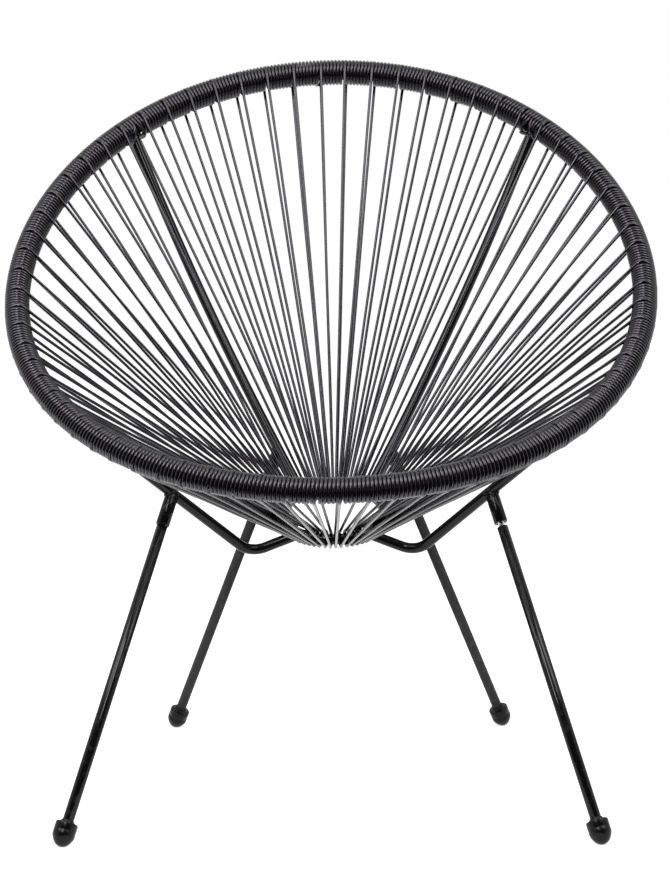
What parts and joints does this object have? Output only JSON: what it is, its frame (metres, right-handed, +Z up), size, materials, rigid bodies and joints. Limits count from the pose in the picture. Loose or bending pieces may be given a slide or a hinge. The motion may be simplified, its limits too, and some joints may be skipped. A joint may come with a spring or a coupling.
{
  "type": "acapulco chair",
  "caption": "Strung bucket chair: a tilted steel hoop wrapped in cord, paired cords down to a small ring, two bowed back struts, two bent front arms, four screw-in legs with rubber feet.",
  "frame": {"origin": "centre of the chair's footprint box, on the floor", "axes": "+Z up, +Y to the back of the chair, +X to the right as seen from the front"},
  "size_m": [0.728, 0.5963, 0.8313],
  "materials": {
    "coated_steel": "black powder coat, satin",
    "cord": "smooth black vinyl cord with a soft gloss",
    "thread": "bright zinc-plated steel",
    "foot_rubber": "matte black"
  },
  "bodies": {
    "seat_and_frame": {"rim_hoop": "coated_steel", "base_ring": "coated_steel", "back_strut_left": "coated_steel", "back_strut_right": "coated_steel", "front_arm_left": "coated_steel", "front_arm_right": "coated_steel", "leg_socket_front_left": "coated_steel", "leg_socket_front_right": "coated_steel", "leg_socket_rear_left": "coated_steel", "leg_socket_rear_right": "coated_steel", "seat_cord_front_left": "cord", "seat_cord_front_centre": "cord", "seat_cord_front_right": "cord", "seat_cord_right_front": "cord", "seat_cord_right_middle": "cord", "seat_cord_right_rear": "cord", "seat_cord_back_right": "cord", "seat_cord_back_centre": "cord", "seat_cord_back_left": "cord", "seat_cord_left_rear": "cord", "seat_cord_left_middle": "cord", "seat_cord_left_front": "cord"},
    "leg_front_left": {"leg_tube_front_left": "coated_steel", "leg_stud_front_left": "thread", "foot_cap_front_left": "foot_rubber"},
    "leg_front_right": {"leg_tube_front_right": "coated_steel", "leg_stud_front_right": "thread", "foot_cap_front_right": "foot_rubber"},
    "leg_rear_left": {"leg_tube_rear_left": "coated_steel", "leg_stud_rear_left": "thread", "foot_cap_rear_left": "foot_rubber"},
    "leg_rear_right": {"leg_tube_rear_right": "coated_steel", "leg_stud_rear_right": "thread", "foot_cap_rear_right": "foot_rubber"}
  },
  "joints": [
    {"name": "leg_unscrew_front_left", "type": "slide", "parent": "seat_and_frame", "child": "leg_front_left", "axis": [-0.2591, -0.4788, -0.8388], "range_m": [0, 0.022]},
    {"name": "leg_unscrew_front_right", "type": "slide", "parent": "seat_and_frame", "child": "leg_front_right", "axis": [0.2591, -0.4788, -0.8388], "range_m": [0, 0.0175]},
    {"name": "leg_unscrew_rear_left", "type": "slide", "parent": "seat_and_frame", "child": "leg_rear_left", "axis": [-0.3517, 0.262, -0.8987], "range_m": [0, 0.022]},
    {"name": "leg_unscrew_rear_right", "type": "slide", "parent": "seat_and_frame", "child": "leg_rear_right", "axis": [0.3517, 0.262, -0.8987], "range_m": [0, 0.022]}
  ]
}
